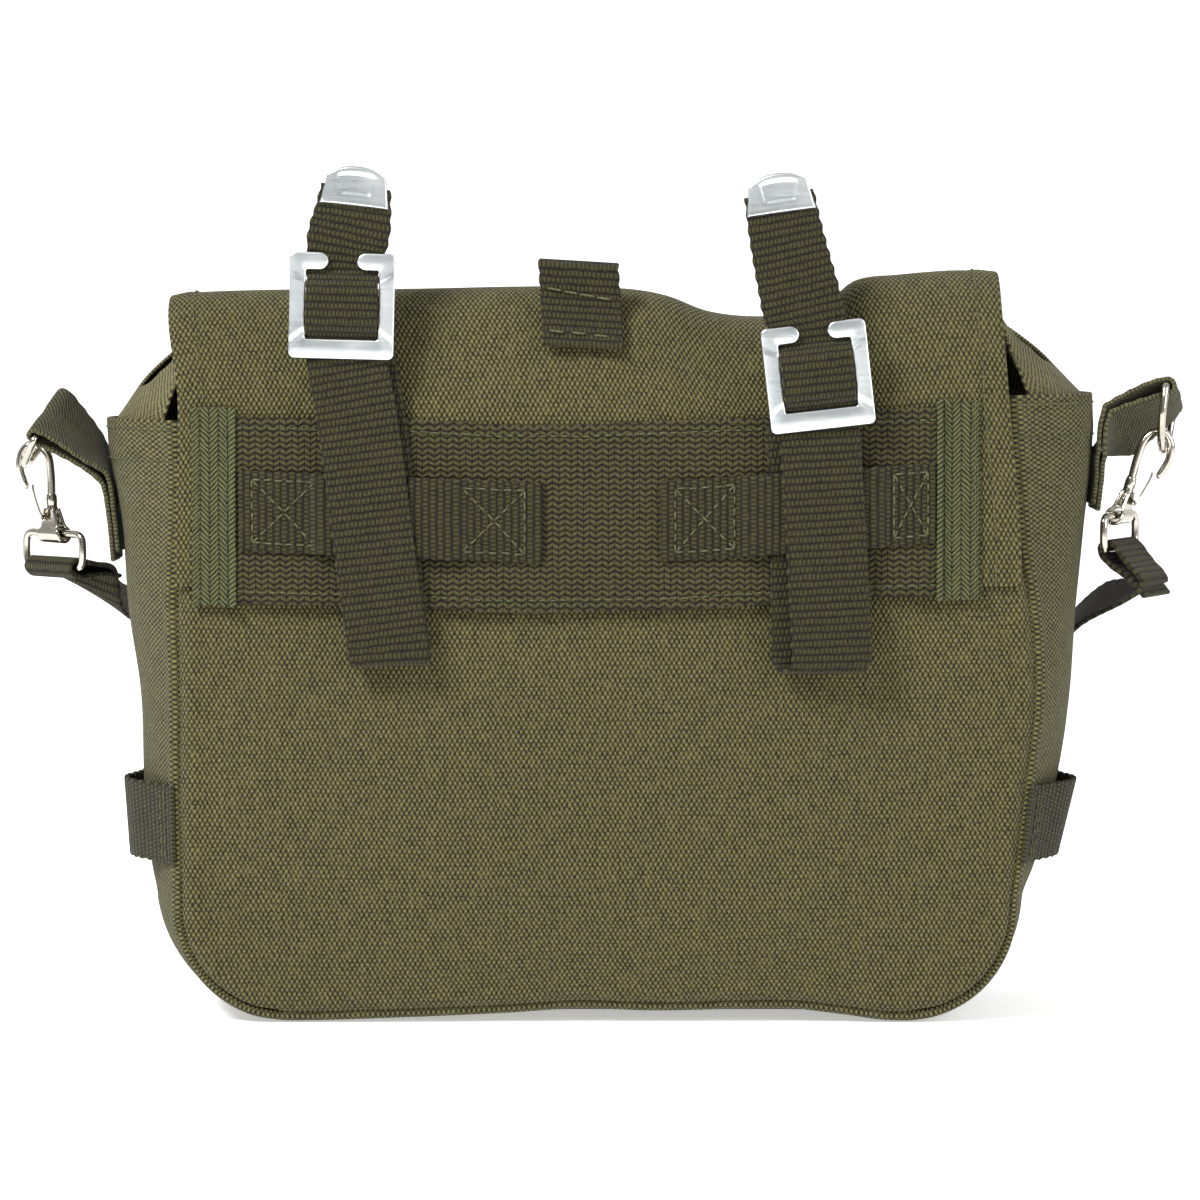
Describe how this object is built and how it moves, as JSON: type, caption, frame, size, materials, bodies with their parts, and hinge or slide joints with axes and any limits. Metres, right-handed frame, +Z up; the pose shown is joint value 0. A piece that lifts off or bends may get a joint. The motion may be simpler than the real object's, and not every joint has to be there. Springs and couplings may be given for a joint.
{
  "type": "military shoulder bag",
  "caption": "Small olive canvas army shoulder bag seen from its back, with webbing straps, aluminium buckles, snap hooks and a strap.",
  "frame": {"origin": "centre of the base, on the surface that the bag stands on", "axes": "+X to the right seen from the back of the bag, +Y from its back to its front, +Z up"},
  "size_m": [0.3922, 0.3001, 0.2793],
  "materials": {
    "canvas": "matte",
    "ear_cloth": "matte",
    "strap_webbing": "matte",
    "band_webbing": "matte",
    "tape": "matte",
    "loop_webbing": "matte",
    "aluminium": "satin",
    "nickel": "polished"
  },
  "bodies": {
    "bag": {"back_panel": "canvas", "front_panel": "canvas", "gusset": "canvas", "flap": "canvas", "back_band": "band_webbing", "band_tape_left": "tape", "band_tape_right": "tape", "top_tab": "strap_webbing", "shoulder_strap": "strap_webbing", "storm_ear_left": "ear_cloth", "storm_ear_right": "ear_cloth", "belt_loop_left": "strap_webbing", "belt_loop_right": "strap_webbing", "equipment_strap_left": "strap_webbing", "equipment_strap_right": "strap_webbing", "strap_buckle_left": "aluminium", "strap_buckle_right": "aluminium", "strap_tip_left": "aluminium", "strap_tip_right": "aluminium", "side_tab_left": "strap_webbing", "side_tab_right": "strap_webbing", "carry_loop_left": "loop_webbing", "carry_loop_right": "loop_webbing", "d_ring_left": "nickel", "d_ring_right": "nickel", "snap_hook_left": "nickel", "snap_hook_right": "nickel", "strap_ring_left": "nickel", "strap_ring_right": "nickel"},
    "gate_left": {"hook_gate_left": "nickel"},
    "gate_right": {"hook_gate_right": "nickel"}
  },
  "joints": [
    {"name": "gate_left_hinge", "type": "hinge", "parent": "bag", "child": "gate_left", "pos_m": [-0.18358, 0.00684, 0.16281], "axis": [0, 1, 0], "range_deg": [0, 13], "stiffness_Nm_per_rad": 0.02, "springref_deg": -5.73},
    {"name": "gate_right_hinge", "type": "hinge", "parent": "bag", "child": "gate_right", "pos_m": [0.18128, -0.00309, 0.16845], "axis": [0, -1, 0], "range_deg": [0, 13], "stiffness_Nm_per_rad": 0.02, "springref_deg": -5.73}
  ]
}
